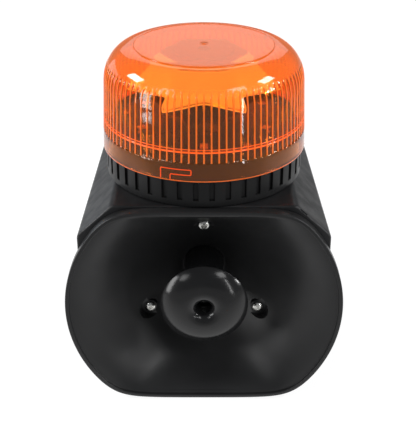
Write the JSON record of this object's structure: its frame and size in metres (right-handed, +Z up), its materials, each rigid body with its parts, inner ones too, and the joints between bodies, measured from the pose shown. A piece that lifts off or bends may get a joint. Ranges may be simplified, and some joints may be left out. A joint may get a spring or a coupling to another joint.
{
  "type": "alarm siren",
  "caption": "Horn siren with a flattened flared mouth and a domed centre cap in a chamfered housing, under a ribbed amber beacon lens on a slotted ring.",
  "frame": {"origin": "on the flat underside of the housing, below the beacon's vertical axis", "axes": "+Z up along the beacon axis, -Y out of the horn mouth, +X to the right as seen from the front"},
  "size_m": [0.1796, 0.1711, 0.2271],
  "materials": {
    "body_plastic": "moulded black plastic, soft satin",
    "horn_plastic": "moulded black plastic, satin",
    "ring_plastic": "moulded black plastic, satin",
    "cap_plastic": "polished black plastic",
    "lens_amber": "clear amber plastic, polished",
    "steel": "zinc-plated steel",
    "brass": "turned brass",
    "rubber": "black rubber",
    "magnet": "ferrite, matte grey",
    "diaphragm_film": "phenolic film",
    "led_board": "black solder mask",
    "led": "clear resin over a yellow chip",
    "reflector_metal": "metallised plastic",
    "reflector_plate": "white plastic",
    "circuit_board": "green solder mask",
    "terminal_plastic": "green plastic",
    "capacitor_sleeve": "dark blue sleeve",
    "transformer_tape": "yellow tape"
  },
  "bodies": {
    "siren_body": {"base_ring": "ring_plastic", "beacon_screw_1": "steel", "beacon_screw_2": "steel", "beacon_screw_3": "steel", "cable_gland": "body_plastic", "cap_screw": "steel", "capacitor": "capacitor_sleeve", "centre_cap": "cap_plastic", "control_board": "circuit_board", "control_screw_1": "steel", "control_screw_2": "steel", "control_screw_3": "steel", "control_screw_4": "steel", "driver_frame": "body_plastic", "driver_magnet": "magnet", "driver_plate": "steel", "driver_pole": "steel", "driver_screw_1": "steel", "driver_screw_2": "steel", "driver_screw_3": "steel", "driver_seal": "rubber", "gland_nut": "body_plastic", "horn": "horn_plastic", "horn_screw_left": "steel", "horn_screw_right": "steel", "horn_screw_top": "steel", "housing": "body_plastic", "led_1": "led", "led_2": "led", "led_3": "led", "led_4": "led", "led_5": "led", "led_6": "led", "led_board": "led_board", "led_board_screw_1": "steel", "led_board_screw_2": "steel", "led_board_screw_3": "steel", "lens_seal": "rubber", "mount_insert_1": "brass", "mount_insert_2": "brass", "rear_cover": "body_plastic", "rear_screw_1": "steel", "rear_screw_2": "steel", "rear_screw_3": "steel", "rear_screw_4": "steel", "rear_seal": "rubber", "reflector": "reflector_metal", "reflector_plate": "reflector_plate", "reflector_screw": "steel", "terminal_block": "terminal_plastic", "throat_tube": "body_plastic", "transformer": "transformer_tape"},
    "lens": {"lens": "lens_amber"},
    "diaphragm": {"diaphragm": "diaphragm_film"}
  },
  "joints": [
    {"name": "lens_twist", "type": "hinge", "parent": "siren_body", "child": "lens", "pos_m": [0, 0, 0.1607], "axis": [0, 0, 1], "range_deg": [0, 11.6]},
    {"name": "diaphragm_stroke", "type": "slide", "parent": "siren_body", "child": "diaphragm", "axis": [0, -1, 0], "range_m": [-0.0005, 0.0005], "stiffness_N_per_m": 1000}
  ]
}
